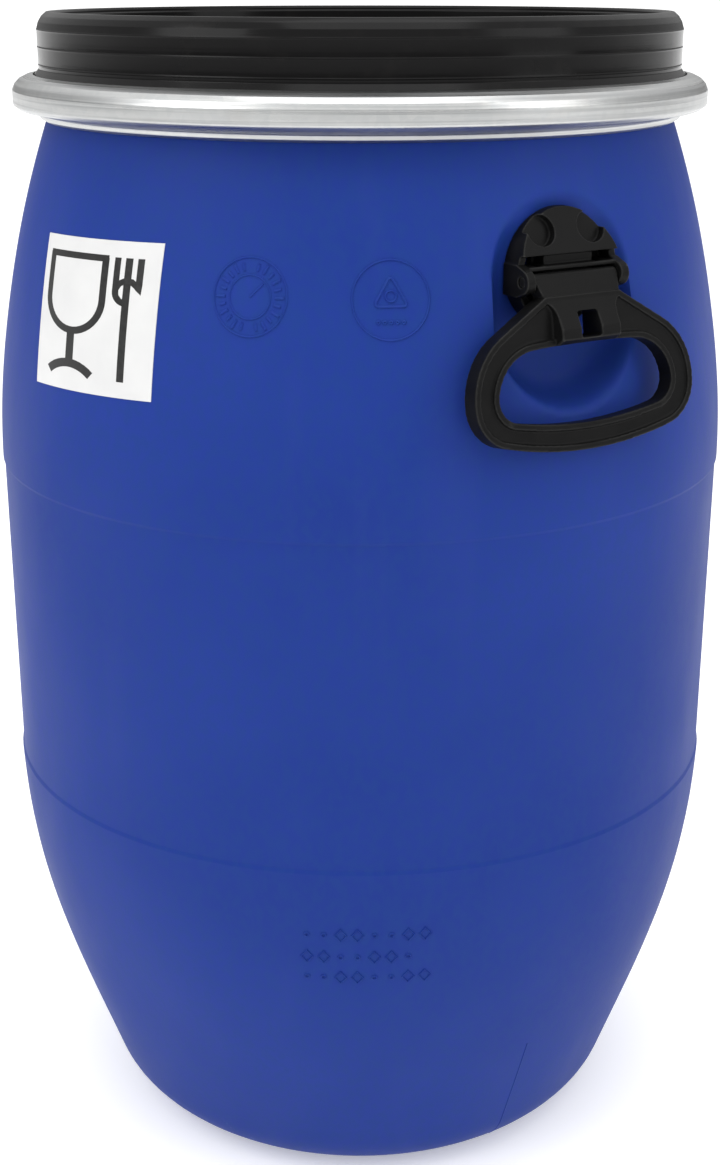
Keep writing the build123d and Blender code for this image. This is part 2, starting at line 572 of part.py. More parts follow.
# Label: a thin film on the upper side.
with BuildPart() as label:
    with BuildSketch(Plane.XZ):
        with BuildLine():
            inner = upper_side(-LABEL_GAP)
            outer = upper_side(-LABEL_GAP - LABEL_T)
            Line(inner @ 0, outer @ 0)
            Line(inner @ 1, outer @ 1)
        make_face()
    revolve(axis=Axis.Z)
    facing = Plane(
        origin=(0, 0, LABEL_Z),
        x_dir=(-sin(radians(LABEL_ANGLE)), cos(radians(LABEL_ANGLE)), 0),
        z_dir=(cos(radians(LABEL_ANGLE)), sin(radians(LABEL_ANGLE)), 0),
    )
    with BuildSketch(facing):
        RectangleRounded(LABEL_WIDTH, LABEL_HEIGHT, 1.0, rotation=LABEL_TURN)
    extrude(amount=BODY_R + 10, mode=Mode.INTERSECT)
save(label, "label")
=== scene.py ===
from math import atan, cos, hypot, pi, radians, sin, sqrt, tan

import bmesh
import bpy
import numpy as np
from mathutils import Matrix, Vector


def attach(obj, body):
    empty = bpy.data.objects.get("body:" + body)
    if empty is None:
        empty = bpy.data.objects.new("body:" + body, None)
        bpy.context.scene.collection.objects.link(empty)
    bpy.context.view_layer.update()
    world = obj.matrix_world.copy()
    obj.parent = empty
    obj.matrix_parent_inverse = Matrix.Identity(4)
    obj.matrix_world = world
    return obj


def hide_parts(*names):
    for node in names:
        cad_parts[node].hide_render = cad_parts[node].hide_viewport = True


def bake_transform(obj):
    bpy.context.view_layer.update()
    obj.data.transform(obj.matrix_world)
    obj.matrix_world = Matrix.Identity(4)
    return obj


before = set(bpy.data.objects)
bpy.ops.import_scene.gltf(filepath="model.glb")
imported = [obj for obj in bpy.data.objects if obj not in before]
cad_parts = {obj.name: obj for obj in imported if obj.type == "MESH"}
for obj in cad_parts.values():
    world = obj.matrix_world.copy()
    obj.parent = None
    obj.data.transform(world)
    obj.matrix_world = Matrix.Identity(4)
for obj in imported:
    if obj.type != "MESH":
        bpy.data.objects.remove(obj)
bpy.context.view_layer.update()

# Open head plastic drum with a ring closure and two carrying handles.
# Shapes are drawn in millimetres, in the frame's axes, and MM turns them into metres.
MM = 0.001

# ---- camera ----
CAMERA_ANGLE = -31.4        # plan angle from +X, degrees
CAMERA_DISTANCE = 972.0     # from the drum's axis
CAMERA_HEIGHT = 640.0
CAMERA_PITCH = 19.13        # degrees down
CAMERA_LENS = 54.1

# ---- drum body ----
BODY_R, BAND_R, WALL = 200.0, 199.2, 3.2
SEAM_LOW, SEAM_HIGH, SEAM_STEP, SEAM_ROW = 218.5, 391.0, 1.2, 0.7
CORNER_R, CORNER_CENTRE_R, SIDE_LEAN = 38.85, 117.65, 0.345
FOOT_IN_R, PUSH_UP_R, PUSH_UP = 98.0, 88.0, 6.0
LOWER_SIDE = ((173.3, 81.0), (192.3, 149.3))         # (radius, height) that the lower side passes through
UPPER_SIDE = ((191.0, 476.9), (181.6, 519.6))
NECK_R, NECK_Z, MOUTH_Z, FLANGE_R = 166.0, 569.5, 582.1, 179.6
RECESS_FLOOR, RECESS_HALF_WIDTH, RECESS_FILLET = 173.0, 39.0, 10.0
RECESS_Z, RECESS_RISE = 499.7, 18.5
RECESS_ROWS = (440.0, 560.0)         # heights between which the mesh is fine enough for a recess
RECESS_HALF_ANGLE = 17.0             # degrees
SINK_FROM_X, SINK_LOW, SINK_HIGH = 140.0, 400.0, 565.0    # the part of the skin that a recess may sink
LUG_Z = 511.0

# ---- raised marks ----
MARK_WIDTH, MARK_RISE = 1.35, 1.7    # how much wider and higher than their drawn sizes
DIAL_ANGLE, DIAL_Z, DIAL_R = -47.0, 502.0, 17.5
RESIN_ANGLE, RESIN_Z, RESIN_R = -27.1, 501.7, 17.6
BATCH_ANGLE, BATCH_ROWS, BATCH_COLUMNS = -30.5, (183.0, 169.5, 156.5), 8
BATCH_PITCH, BATCH_SIZE = 8.6, 7.4
PARTING_LOW, PARTING_HIGH = 9.0, 88.0

# ---- lid and ring ----
LID_TOP, LID_WALL_R, LID_PANEL_TOP, LID_THICK, LID_SKIRT_R = 622.5, 168.9, 600.0, 3.0, 161.8
LID_LINES = (596.6, 605.3, 613.8)    # heights of the fine lines round the lid's wall
LINE_RISE = 0.35
RIB_RADII, RIB_RISE = (135.0, 62.0, 28.0), 3.0
SPOKES, SPOKE_MIDDLE, SPOKE_SIZE = 12, 98.0, (71.6, 2.0, 3.4)
RING_T, RING_R, RING_GAP = 1.2, 183.0, 12.0
RING_LINE = (
    (172.0, 591.8), (176.0, 591.1), (179.4, 589.5), (181.8, 587.1), (183.0, 584.2), (183.0, 577.0),
    (180.2, 574.9), (170.2, 572.5), (169.4, 570.2), (167.0, 568.9),
)

# ---- label ----
LABEL_ANGLE, LABEL_Z, LABEL_TURN = -74.6, 485.5, 2.0
LABEL_WIDTH, LABEL_HEIGHT = 87.0, 72.0
FILM_BOTTOM, FILM_TOP, PRINT_TOP = 0.02, 0.35, 0.38
PRINT_STRETCH, PRINT_ACROSS, PRINT_STROKE = 1.42, -1.5, 3.4

# ---- handles ----
GRIP_VOXEL, BRACKET_VOXEL, SMOOTH_PASSES, KEPT_FACES = 0.55, 0.45, 3, 0.4

# ---- studio ----
FLOOR_HALF = 300.0                   # metres, so that its far edge lies at the horizon
HORIZON_LIGHT, ZENITH_LIGHT, BACKDROP = 0.20, 1.20, 1.05
FLOOR_GLOW = 0.33


# ======== outlines ========

def spline_through(points, start, end, steps=24):
    """A smooth curve through the points, with the given directions at its ends."""
    p = np.array(points, float)
    chord = np.hypot(*np.diff(p, axis=0).T)
    count = len(p)
    matrix = np.zeros((count, count))
    right = np.zeros((count, 2))
    matrix[0, 0] = matrix[-1, -1] = 1
    right[0] = np.array(start) / hypot(*start)
    right[-1] = np.array(end) / hypot(*end)
    for i in range(1, count - 1):
        before, after = chord[i - 1], chord[i]
        matrix[i, i - 1:i + 2] = (after, 2 * (before + after), before)
        right[i] = 3 * (before * (p[i + 1] - p[i]) / after + after * (p[i] - p[i - 1]) / before)
    slope = np.linalg.solve(matrix, right)
    curve = []
    for i in range(count - 1):
        for t in np.linspace(0, 1, steps, endpoint=False):
            a = (1 + 2 * t) * (1 - t) ** 2
            b = t * (1 - t) ** 2
            c = t * t * (3 - 2 * t)
            d = t * t * (t - 1)
            curve.append(a * p[i] + c * p[i + 1] + chord[i] * (b * slope[i] + d * slope[i + 1]))
    curve.append(p[-1])
    return [tuple(point) for point in curve]


def arc(centre, radius, start, end, steps=10):
    """Points of an arc from one angle to another, in degrees."""
    angles = np.radians(np.linspace(start, end, steps))
    return [(centre[0] + radius * cos(a), centre[1] + radius * sin(a)) for a in angles]


def rounded(points, radius, closed=False, steps=5):
    """The same outline with its corners rounded, by less where its sides are short."""
    out = []
    count = len(points)
    for i, here in enumerate(points):
        if not closed and i in (0, count - 1):
            out.append(tuple(here))
            continue
        here = Vector(here)
        back = Vector(points[i - 1]) - here
        ahead = Vector(points[(i + 1) % count]) - here
        turn = pi - back.angle(ahead)
        if turn < 0.02:
            out.append(tuple(here))
            continue
        cut = min(radius * tan(turn / 2), 0.45 * back.length, 0.45 * ahead.length)
        first, last = here + back.normalized() * cut, here + ahead.normalized() * cut
        for t in np.linspace(0, 1, steps):
            point = first * (1 - t) ** 2 + here * 2 * t * (1 - t) + last * t * t
            out.append(tuple(point))
    return out


def thickened(line, thickness):
    """A closed outline on one side of a line of points, to its right."""
    p = np.array(line, float)
    way = np.gradient(p, axis=0)
    way /= np.hypot(way[:, 0], way[:, 1])[:, None]
    inner = p + thickness * np.column_stack((way[:, 1], -way[:, 0]))
    return [tuple(q) for q in p] + [tuple(q) for q in inner[::-1]]


# ======== mesh building ========

def tidy(mesh):
    """Merges doubled points and turns all faces outwards."""
    work = bmesh.new()
    work.from_mesh(mesh)
    bmesh.ops.remove_doubles(work, verts=work.verts, dist=1e-7)
    bmesh.ops.recalc_face_normals(work, faces=work.faces)
    work.to_mesh(mesh)
    work.free()


def new_object(name, shells, material, smooth=True):
    """One mesh object, in metres, from shells of (points in mm, faces)."""
    points, faces = [], []
    for shell_points, shell_faces in shells:
        offset = len(points)
        points += [tuple(c * MM for c in p) for p in shell_points]
        faces += [tuple(i + offset for i in face) for face in shell_faces]
    mesh = bpy.data.meshes.new(name)
    mesh.from_pydata(points, [], faces)
    tidy(mesh)
    mesh.materials.append(material)
    if smooth:
        mesh.shade_smooth()
        mesh.set_sharp_from_angle(angle=radians(50))
    obj = bpy.data.objects.new(name, mesh)
    bpy.context.scene.collection.objects.link(obj)
    return obj


def turned(outline, angles, whole=True, loop=False):
    """A shell: an outline of (radius, height) turned about Z. An end on the axis closes to a point."""
    poles = [] if loop else [end for end in (0, -1) if outline[end][0] < 1e-6]
    rows = [p for p in outline if p[0] >= 1e-6]
    count, height = len(angles), len(rows)
    points = [(r * cos(a), r * sin(a), z) for r, z in rows for a in angles]
    faces = []
    columns = count if whole else count - 1
    for i in range(height if loop else height - 1):
        low, high = i * count, (i + 1) % height * count
        for j in range(columns):
            k = (j + 1) % count
            faces.append((low + j, low + k, high + k, high + j))
    for end in poles:
        points.append((0.0, 0.0, outline[end][1]))
        row = 0 if end == 0 else (height - 1) * count
        for j in range(columns):
            faces.append((row + j, row + (j + 1) % count, len(points) - 1))
    if not whole and loop:
        faces.append(tuple(i * count for i in range(height)))
        faces.append(tuple(i * count + count - 1 for i in range(height)))
    return points, faces


def all_round(count):
    """Evenly spaced angles over a whole turn."""
    return [2 * pi * i / count for i in range(count)]


def block(centre, size, turn=0.0):
    """A box shell with its edges cut off by a small bevel."""
    work = bmesh.new()
    bmesh.ops.create_cube(work, size=1.0)
    place = Matrix.Translation(centre) @ Matrix.Rotation(turn, 4, "Z") @ Matrix.Diagonal((*size, 1))
    bmesh.ops.transform(work, matrix=place, verts=work.verts)
    bmesh.ops.bevel(work, geom=work.edges, offset=min(size) * 0.22, segments=2, profile=0.5, affect="EDGES")
    work.verts.ensure_lookup_table()
    points = [tuple(v.co) for v in work.verts]
    faces = [tuple(v.index for v in f.verts) for f in work.faces]
    work.free()
    return points, faces


# ======== materials ========

def new_material(name, settings):
    """A material, its node tree and its shader, with constant settings on the shader's own sockets."""
    material = bpy.data.materials.new(name)
    material.use_nodes = True
    shader = material.node_tree.nodes["Principled BSDF"]
    for socket, value in settings.items():
        shader.inputs[socket].default_value = value
    return material, material.node_tree, shader


def noise(tree, scale, stretch=(1, 1, 1), detail=3.0, rough=0.5):
    """Noise over the object's own space in metres, squeezed by stretch along each axis."""
    place = tree.nodes.new("ShaderNodeTexCoord")
    mapping = tree.nodes.new("ShaderNodeMapping")
    mapping.inputs["Scale"].default_value = stretch
    texture = tree.nodes.new("ShaderNodeTexNoise")
    texture.inputs["Scale"].default_value = scale
    texture.inputs["Detail"].default_value = detail
    texture.inputs["Roughness"].default_value = rough
    tree.links.new(place.outputs["Object"], mapping.inputs["Vector"])
    tree.links.new(mapping.outputs["Vector"], texture.inputs["Vector"])
    return texture.outputs["Fac"]


def spread(tree, value, low, high, to_low=0.0, to_high=1.0):
    """value from low to high, mapped to another range and held at its ends."""
    node = tree.nodes.new("ShaderNodeMapRange")
    node.inputs["From Min"].default_value = low
    node.inputs["From Max"].default_value = high
    node.inputs["To Min"].default_value = to_low
    node.inputs["To Max"].default_value = to_high
    tree.links.new(value, node.inputs["Value"])
    return node.outputs["Result"]


def mixed(tree, factor, first, second):
    """A colour between two, each a colour or another node's output."""
    node = tree.nodes.new("ShaderNodeMix")
    node.data_type = "RGBA"
    tree.links.new(factor, node.inputs["Factor"])
    for socket, colour in ((node.inputs[6], first), (node.inputs[7], second)):
        if isinstance(colour, tuple):
            socket.default_value = (*colour, 1)
        else:
            tree.links.new(colour, socket)
    return node.outputs[2]


def bumped(tree, shader, heights):
    """Adds bump from (height output, strength, distance in metres), one over another."""
    normal = None
    for height, strength, distance in heights:
        node = tree.nodes.new("ShaderNodeBump")
        node.inputs["Strength"].default_value = strength
        node.inputs["Distance"].default_value = distance
        tree.links.new(height, node.inputs["Height"])
        if normal is not None:
            tree.links.new(normal, node.inputs["Normal"])
        normal = node.outputs["Normal"]
    tree.links.new(normal, shader.inputs["Normal"])


def height_of(tree):
    """The height above the floor, in metres."""
    place = tree.nodes.new("ShaderNodeTexCoord")
    split = tree.nodes.new("ShaderNodeSeparateXYZ")
    tree.links.new(place.outputs["Object"], split.inputs["Vector"])
    return split.outputs["Z"]


def worn_and_highlit_edges(tree, low, high):
    """1 along outside edges, partly wear and partly a painted highlight where edges catch the light, and 0
    elsewhere.
    """
    geometry = tree.nodes.new("ShaderNodeNewGeometry")
    return spread(tree, geometry.outputs["Pointiness"], low, high)


def blue_polyethylene():
    """Blow-moulded skin: a fine matt grain, cloudy colour, and scuffs near the foot."""
    material, tree, shader = new_material("blue_polyethylene", {"IOR": 1.5, "Specular IOR Level": 0.10})
    clouds = spread(tree, noise(tree, 7.0, detail=4.0), 0.35, 0.65)
    colour = mixed(tree, clouds, (0.0095, 0.031, 0.218), (0.0130, 0.037, 0.248))
    speckle = spread(tree, noise(tree, 240.0, (1, 1, 0.7), 2.0), 0.40, 0.62, 0.0, 0.55)
    colour = mixed(tree, speckle, colour, (0.0105, 0.041, 0.212))
    streaks = spread(tree, noise(tree, 26.0, (1, 1, 0.08), 4.0), 0.56, 0.72, 0.0, 0.18)
    colour = mixed(tree, streaks, colour, (0.026, 0.049, 0.255))
    scuffs = spread(tree, noise(tree, 90.0, (1, 1, 0.16), 6.0, 0.7), 0.64, 0.72)
    foot = spread(tree, height_of(tree), 0.03, 0.0)
    worn = tree.nodes.new("ShaderNodeMath")
    worn.operation = "MULTIPLY"
    tree.links.new(scuffs, worn.inputs[0])
    tree.links.new(foot, worn.inputs[1])
    colour = mixed(tree, worn.outputs["Value"], colour, (0.13, 0.19, 0.44))
    tree.links.new(colour, shader.inputs["Base Color"])
    sheen = spread(tree, noise(tree, 16.0, (1, 1, 0.5), 5.0), 0.3, 0.7, 0.46, 0.58)
    tree.links.new(sheen, shader.inputs["Roughness"])
    grain = noise(tree, 1500.0, detail=2.0)
    peel = noise(tree, 130.0, detail=3.0)
    swell = noise(tree, 11.0, (1, 1, 0.6), 2.0)
    bumped(tree, shader, ((grain, 0.20, 0.00015), (peel, 0.16, 0.0003), (swell, 0.25, 0.0016)))
    return material


def black_lid_plastic():
    """Glossy moulded polyethylene with turning streaks, light dust and fine scratches."""
    material, tree, shader = new_material("black_lid_plastic", {"IOR": 1.5, "Specular IOR Level": 0.13})
    dust = spread(tree, noise(tree, 60.0, detail=8.0, rough=0.7), 0.52, 0.78, 0.0, 0.5)
    colour = mixed(tree, dust, (0.0040, 0.0038, 0.0040), (0.013, 0.012, 0.011))
    tree.links.new(colour, shader.inputs["Base Color"])
    smear = spread(tree, noise(tree, 18.0, (1, 1, 2.0), 5.0), 0.3, 0.7, 0.12, 0.24)
    tree.links.new(smear, shader.inputs["Roughness"])
    streak = noise(tree, 10.0, (1, 1, 45.0), 4.0)
    scratch = noise(tree, 420.0, (1, 0.12, 1), 2.0)
    ripple = noise(tree, 32.0, (1, 1, 0.5), 2.0)
    bumped(tree, shader, ((streak, 0.10, 0.0003), (scratch, 0.06, 0.0001), (ripple, 0.18, 0.0008)))
    return material


def galvanised_steel():
    """Rolled zinc-coated sheet: bright, with rolling lines round the ring and a faint spangle."""
    material, tree, shader = new_material("galvanised_steel", {"Metallic": 1.0})
    spangle = tree.nodes.new("ShaderNodeTexVoronoi")
    spangle.inputs["Scale"].default_value = 260.0
    place = tree.nodes.new("ShaderNodeTexCoord")
    tree.links.new(place.outputs["Object"], spangle.inputs["Vector"])
    grey = tree.nodes.new("ShaderNodeSeparateColor")
    tree.links.new(spangle.outputs["Color"], grey.inputs["Color"])
    colour = mixed(tree, grey.outputs["Red"], (0.50, 0.51, 0.51), (0.54, 0.545, 0.54))
    bands = spread(tree, noise(tree, 6.0, (1, 1, 90.0), 5.0), 0.46, 0.62, 0.0, 0.6)
    colour = mixed(tree, bands, colour, (0.35, 0.355, 0.36))
    stain = spread(tree, noise(tree, 35.0, (1, 1, 3.0), 6.0), 0.55, 0.75, 0.0, 0.4)
    colour = mixed(tree, stain, colour, (0.43, 0.42, 0.40))
    tree.links.new(colour, shader.inputs["Base Color"])
    rough = spread(tree, noise(tree, 9.0, (1, 1, 120.0), 5.0), 0.3, 0.7, 0.24, 0.42)
    tree.links.new(rough, shader.inputs["Roughness"])
    rolling = noise(tree, 7.0, (1, 1, 230.0), 3.0)
    dents = noise(tree, 55.0, detail=2.0)
    bumped(tree, shader, ((rolling, 0.16, 0.0003), (dents, 0.05, 0.0004)))
    return material


def rivet_steel():
    """Zinc-plated steel of the rivets and pins, with turning marks and dull patches."""
    material, tree, shader = new_material("rivet_steel", {"Metallic": 1.0})
    patches = spread(tree, noise(tree, 260.0, detail=5.0), 0.4, 0.65)
    colour = mixed(tree, patches, (0.60, 0.60, 0.58), (0.43, 0.42, 0.39))
    tree.links.new(colour, shader.inputs["Base Color"])
    tree.links.new(spread(tree, patches, 0.0, 1.0, 0.26, 0.46), shader.inputs["Roughness"])
    bumped(tree, shader, ((noise(tree, 900.0, detail=2.0), 0.25, 0.0001),))
    return material


def gasket_rubber():
    """Soft grey-black sealing rubber, dull and slightly dusty."""
    material, tree, shader = new_material("gasket_rubber", {"Specular IOR Level": 0.3})
    bloom = spread(tree, noise(tree, 110.0, detail=6.0), 0.45, 0.7)
    colour = mixed(tree, bloom, (0.018, 0.018, 0.019), (0.045, 0.044, 0.043))
    tree.links.new(colour, shader.inputs["Base Color"])
    tree.links.new(spread(tree, bloom, 0.0, 1.0, 0.62, 0.8), shader.inputs["Roughness"])
    bumped(tree, shader, ((noise(tree, 1100.0, detail=3.0), 0.3, 0.0001),))
    return material


def black_handle_plastic():
    """Injection-moulded black handle plastic: an eroded grain, and greyer along outside edges, partly wear
    and partly a painted highlight.
    """
    material, tree, shader = new_material("black_handle_plastic", {"IOR": 1.48, "Specular IOR Level": 0.09})
    film = spread(tree, noise(tree, 85.0, detail=6.0, rough=0.65), 0.4, 0.75, 0.0, 0.6)
    colour = mixed(tree, film, (0.0045, 0.0045, 0.0046), (0.0090, 0.0088, 0.0086))
    # Lighter grey on every convex edge: partly wear, partly a painted highlight of edges catching the light.
    colour = mixed(tree, worn_and_highlit_edges(tree, 0.515, 0.57), colour, (0.030, 0.030, 0.029))
    tree.links.new(colour, shader.inputs["Base Color"])
    tree.links.new(spread(tree, film, 0.0, 0.6, 0.38, 0.52), shader.inputs["Roughness"])
    grain = noise(tree, 1300.0, detail=3.0)
    sink = noise(tree, 70.0, detail=2.0)
    bumped(tree, shader, ((grain, 0.22, 0.00012), (sink, 0.15, 0.0004)))
    return material


def label_film():
    """White vinyl, faintly uneven where it lies on the drum's grain."""
    material, tree, shader = new_material("label_film", {"Specular IOR Level": 0.4})
    shade = spread(tree, noise(tree, 40.0, detail=4.0), 0.35, 0.7)
    tree.links.new(mixed(tree, shade, (0.68, 0.68, 0.675), (0.63, 0.63, 0.63)), shader.inputs["Base Color"])
    tree.links.new(spread(tree, shade, 0.0, 1.0, 0.38, 0.5), shader.inputs["Roughness"])
    bumped(tree, shader, ((noise(tree, 150.0, detail=2.0), 0.10, 0.0002),))
    return material


def label_print():
    """Black screen print, a little uneven in its ink."""
    material, tree, shader = new_material("label_print", {})
    ink = spread(tree, noise(tree, 500.0, detail=4.0), 0.4, 0.7)
    colour = mixed(tree, ink, (0.004, 0.004, 0.004), (0.012, 0.012, 0.012))
    tree.links.new(colour, shader.inputs["Base Color"])
    tree.links.new(spread(tree, ink, 0.0, 1.0, 0.35, 0.5), shader.inputs["Roughness"])
    return material


BLUE = blue_polyethylene()
LID_BLACK = black_lid_plastic()
STEEL = galvanised_steel()
RIVET = rivet_steel()
RUBBER = gasket_rubber()
HANDLE_BLACK = black_handle_plastic()
FILM = label_film()
INK = label_print()


def finished(obj, body, slot, *nodes):
    """Puts a piece on its body and hides the CAD nodes that it stands for. The slot argument is not used."""
    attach(obj, body)
    if nodes:
        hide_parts(*nodes)
    return obj


# ======== drum body ========

def moved_in(points, inset):
    """Points of an outline moved towards the axis."""
    return [(radius - inset, z) for radius, z in points]


def side_outline(inset):
    """The drum's side from the corner at its foot to the neck, moved inwards by inset."""
    corner_end = -np.degrees(atan(SIDE_LEAN))
    corner = arc((CORNER_CENTRE_R, CORNER_R), CORNER_R - inset, -90, corner_end, 14)
    lower = spline_through(
        (corner[-1], *moved_in(LOWER_SIDE, inset), (BODY_R - inset, SEAM_LOW)), (SIDE_LEAN, 1), (0.03, 1), 10,
    )
    edge, band = BODY_R - inset, BAND_R - inset
    low, high = SEAM_LOW + SEAM_STEP, SEAM_HIGH - SEAM_STEP
    middle = [
        (edge - 0.03 * SEAM_ROW, SEAM_LOW - SEAM_ROW), (edge, SEAM_LOW), (band, low), (band, low + SEAM_ROW),
        (band, (low + high) / 2), (band, high - SEAM_ROW), (band, high), (edge, SEAM_HIGH),
        (edge, SEAM_HIGH + SEAM_ROW / 2),
    ]
    return corner[:-1] + lower[:-1] + middle + upper_side(inset)[1:]


def upper_side(inset):
    """The part of the side between the upper seam and the neck."""
    points = moved_in(((BODY_R, SEAM_HIGH), *UPPER_SIDE, (NECK_R, NECK_Z)), inset)
    return spline_through(points, (0, 1), (-0.36, 1), 36)


UPPER = np.array(upper_side(0))


def side_radius(z):
    """The drum's outside radius at a height on its upper side."""
    return float(np.interp(z, UPPER[:, 1], UPPER[:, 0]))


LOWER = np.array([p for p in side_outline(0) if p[1] <= SEAM_LOW])


def lower_radius(z):
    """The drum's outside radius at a height on its lower side."""
    return float(np.interp(z, LOWER[:, 1], LOWER[:, 0]))


def with_rows(outline, low, high, spacing):
    """The outline with points added between two heights, at most about spacing apart in height."""
    out = [outline[0]]
    for (r0, z0), (r1, z1) in zip(outline, outline[1:]):
        inside = min(z0, z1) < high and max(z0, z1) > low
        count = max(1, round(abs(z1 - z0) / spacing)) if inside else 1
        for t in np.linspace(0, 1, count + 1)[1:]:
            out.append((r0 + t * (r1 - r0), z0 + t * (z1 - z0)))
    return out


def soft_min(a, b, reach):
    """The smaller of two values, blended smoothly where they are within reach of each other."""
    h = np.clip(0.5 + 0.5 * (b - a) / reach, 0, 1)
    return b * (1 - h) + a * h - reach * h * (1 - h)


def recessed(x, y, z, inset):
    """x of the drum's skin on a handle's side, sunk into the recess."""
    fillet = RECESS_FILLET + inset
    nearest = np.clip(z - RECESS_Z, -RECESS_RISE / 2, RECESS_RISE / 2)
    outside = np.hypot(y, z - RECESS_Z - nearest) - (RECESS_HALF_WIDTH + inset)
    t = np.clip((outside + fillet) / fillet, 0, 0.95)
    steepest = 0.95 / sqrt(1 - 0.95 ** 2)
    beyond = np.clip(outside + 0.05 * fillet, 0, None)
    floor = RECESS_FLOOR - inset + fillet * (1 - np.sqrt(1 - t * t)) + steepest * beyond
    return np.sign(x) * soft_min(np.abs(x), floor, 5.0)


def column_angles():
    """Angles round the drum, closer together at the two recesses."""
    fine = np.linspace(-RECESS_HALF_ANGLE, RECESS_HALF_ANGLE, 76)
    coarse = np.linspace(RECESS_HALF_ANGLE, 180 - RECESS_HALF_ANGLE, 66)[1:-1]
    return np.radians(np.concatenate((fine, coarse, fine + 180, coarse + 180)))


def drum_shell():
    """The blow-moulded shell with its base, flange and inside, its two recesses, and a lug in each."""
    foot = rounded(((0, PUSH_UP), (PUSH_UP_R, PUSH_UP), (FOOT_IN_R, 0), (CORNER_CENTRE_R, 0)), 3.0)
    flange = rounded(
        ((NECK_R, NECK_Z), (NECK_R, 573.4), (FLANGE_R - 1.2, 576.8), (FLANGE_R, 578.6), (FLANGE_R, 580.6),
         (FLANGE_R - 1.5, MOUTH_Z), (NECK_R - WALL, MOUTH_Z), (NECK_R - WALL, NECK_Z)), 1.4,
    )
    inner_foot = rounded(
        ((CORNER_CENTRE_R, WALL), (FOOT_IN_R - WALL, WALL), (PUSH_UP_R - WALL, PUSH_UP + WALL),
         (0, PUSH_UP + WALL)), 3.0,
    )
    outside = with_rows(foot[:-1] + side_outline(0)[:-1], *RECESS_ROWS, 1.6)
    inside = with_rows(side_outline(WALL)[::-1][1:-1], *RECESS_ROWS, 3.0)
    outline = outside + flange + inside + inner_foot
    skin_rows = len(outside) + len(flange) // 2
    insets = [0.0] * skin_rows + [WALL] * (len(outline) - skin_rows)
    angles = column_angles()
    points, faces = turned(outline, angles)
    inset = np.repeat([i for i, p in zip(insets, outline) if p[0] >= 1e-6], len(angles))
    p = np.array(points)
    skin = p[:len(inset)]
    x, y, z = skin.T
    sinks = (np.abs(x) > SINK_FROM_X) & (z > SINK_LOW) & (z < SINK_HIGH)
    skin[:, 0] = np.where(sinks, recessed(x, y, z, inset), x)
    lugs = []
    for way in (1, -1):
        lugs.append(block((way * (RECESS_FLOOR + 1.5), 0, LUG_Z), (4.2, 12, 18)))
        lugs.append(block((way * (RECESS_FLOOR + 5.0), 0, LUG_Z), (3.0, 18, 18)))
    shell = new_object("drum_shell", [(p.tolist(), faces), *lugs], BLUE)
    return finished(shell, "drum", "blue_body", "drum_body")


# ======== raised marks moulded into the drum ========

def on_side(angle, height, across, up, proud):
    """A point proud of the drum's side, at a place given across and up from a centre."""
    z = height + up
    radius = side_radius(z) if z > SEAM_HIGH else lower_radius(z)
    around = radians(angle) + across / radius
    return ((radius + proud) * cos(around), (radius + proud) * sin(around), z)


def ridge(angle, height, line, width, rise, closed=False):
    """A shell: a low rounded ridge along a line given across and up from a centre."""
    p = np.array(line, float)
    if closed:
        way = np.roll(p, -1, 0) - np.roll(p, 1, 0)
    else:
        way = np.gradient(p, axis=0)
    way /= np.hypot(way[:, 0], way[:, 1])[:, None]
    side = np.column_stack((way[:, 1], -way[:, 0]))
    width, rise = MARK_WIDTH * width, MARK_RISE * rise
    section = ((-0.5, -0.35), (-0.34, 0.5 * rise), (0, rise), (0.34, 0.5 * rise), (0.5, -0.35))
    count, steps = len(p), len(section)
    points = [
        on_side(angle, height, *(p[i] + side[i] * s * width), proud)
        for i in range(count) for s, proud in section
    ]
    faces = []
    for i in range(count if closed else count - 1):
        k = (i + 1) % count
        for j in range(steps):
            m = (j + 1) % steps
            faces.append((i * steps + j, i * steps + m, k * steps + m, k * steps + j))
    if not closed:
        faces.append(tuple(range(steps)))
        faces.append(tuple((count - 1) * steps + j for j in range(steps)))
    return points, faces


def circle(radius, count=48, centre=(0, 0)):
    """Points round a circle."""
    return [
        (centre[0] + radius * cos(a), centre[1] + radius * sin(a)) for a in all_round(count)
    ]


def straight(start, end, count=4):
    """Evenly spaced points along a straight line."""
    return [tuple(p) for p in np.linspace(start, end, count)]


def dial_mark(angle, height, radius):
    """A mould insert's dial: two rings with ticks between them and a pointer."""
    tip = 0.34 * radius
    shells = [
        ridge(angle, height, circle(radius), 0.9, 0.35, True),
        ridge(angle, height, circle(0.56 * radius, 36), 0.8, 0.3, True),
        ridge(angle, height, straight((0, 0), (tip, tip)), 0.9, 0.3),
    ]
    for step in range(24):
        if step % 12 == 6:
            continue
        a = radians(15 * step)
        reach = 0.86 if step % 2 else 0.92
        ends = [(radius * s * cos(a), radius * s * sin(a)) for s in (0.68, reach)]
        shells.append(ridge(angle, height, straight(*ends), 1.3, 0.4))
    return shells


def resin_mark(angle, height, radius):
    """A ring round a plain rounded triangle, with a row of dots under it."""
    corners = arc((0, 0.1 * radius), 0.52 * radius, 90, 330, 3)
    triangle = rounded(corners, 1.6, closed=True, steps=5)
    shells = [
        ridge(angle, height, circle(radius), 0.9, 0.35, True),
        ridge(angle, height, triangle, 1.3, 0.45, True),
        ridge(angle, height, circle(0.14 * radius, 16, (0, 0.1 * radius)), 1.0, 0.4, True),
    ]
    for step in range(-2, 3):
        shells.append(ridge(angle, height, circle(0.6, 10, (2.9 * step, -0.55 * radius)), 1.0, 0.4, True))
    return shells


